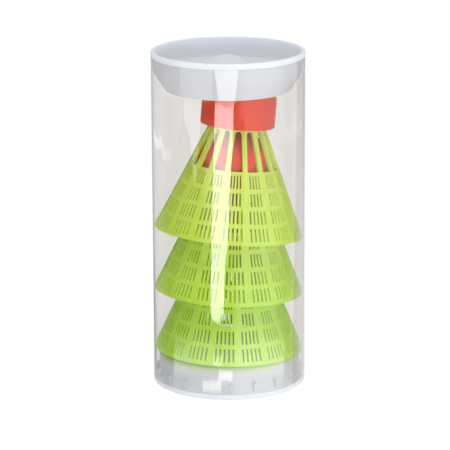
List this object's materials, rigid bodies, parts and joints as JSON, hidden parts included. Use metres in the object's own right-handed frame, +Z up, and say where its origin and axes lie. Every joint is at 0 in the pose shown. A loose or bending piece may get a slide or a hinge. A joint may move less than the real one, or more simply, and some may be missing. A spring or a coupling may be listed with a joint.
{
  "type": "shuttlecock tube pack",
  "caption": "Clear film tube with two white plug caps, holding nested badminton shuttlecocks with slotted plastic skirts and rounded foam heads.",
  "frame": {"origin": "centre of the pack's foot, on the surface it stands on", "axes": "+Z up along the tube, the tube's lapped seam on the +X side, the front is -Y"},
  "size_m": [0.0552, 0.0552, 0.122],
  "materials": {
    "clear_film": "clear glossy film",
    "cap_plastic": "translucent white polyethylene, satin",
    "skirt_nylon": "moulded fluorescent yellow-green nylon, satin",
    "head_foam": "smooth red foam skin"
  },
  "bodies": {
    "tube": {"tube": "clear_film"},
    "bottom_cap": {"bottom_cap": "cap_plastic"},
    "shuttlecock_3": {"skirt_3": "skirt_nylon", "head_3": "head_foam"},
    "shuttlecock_2": {"skirt_2": "skirt_nylon", "head_2": "head_foam"},
    "shuttlecock_1": {"skirt_1": "skirt_nylon", "head_1": "head_foam"},
    "top_lid": {"top_lid": "cap_plastic"}
  },
  "joints": [
    {"name": "bottom_cap_pull", "type": "slide", "parent": "tube", "child": "bottom_cap", "axis": [0, 0, -1], "range_m": [0, 0.03]},
    {"name": "shuttlecock_3_lift", "type": "slide", "parent": "tube", "child": "shuttlecock_3", "axis": [0, 0, 1], "range_m": [0, 0.115]},
    {"name": "shuttlecock_2_lift", "type": "slide", "parent": "shuttlecock_3", "child": "shuttlecock_2", "axis": [0, 0, 1], "range_m": [0, 0.09]},
    {"name": "shuttlecock_1_lift", "type": "slide", "parent": "shuttlecock_2", "child": "shuttlecock_1", "axis": [0, 0, 1], "range_m": [0, 0.07]},
    {"name": "top_lid_pull", "type": "slide", "parent": "shuttlecock_1", "child": "top_lid", "axis": [0, 0, 1], "range_m": [0, 0.03]}
  ]
}
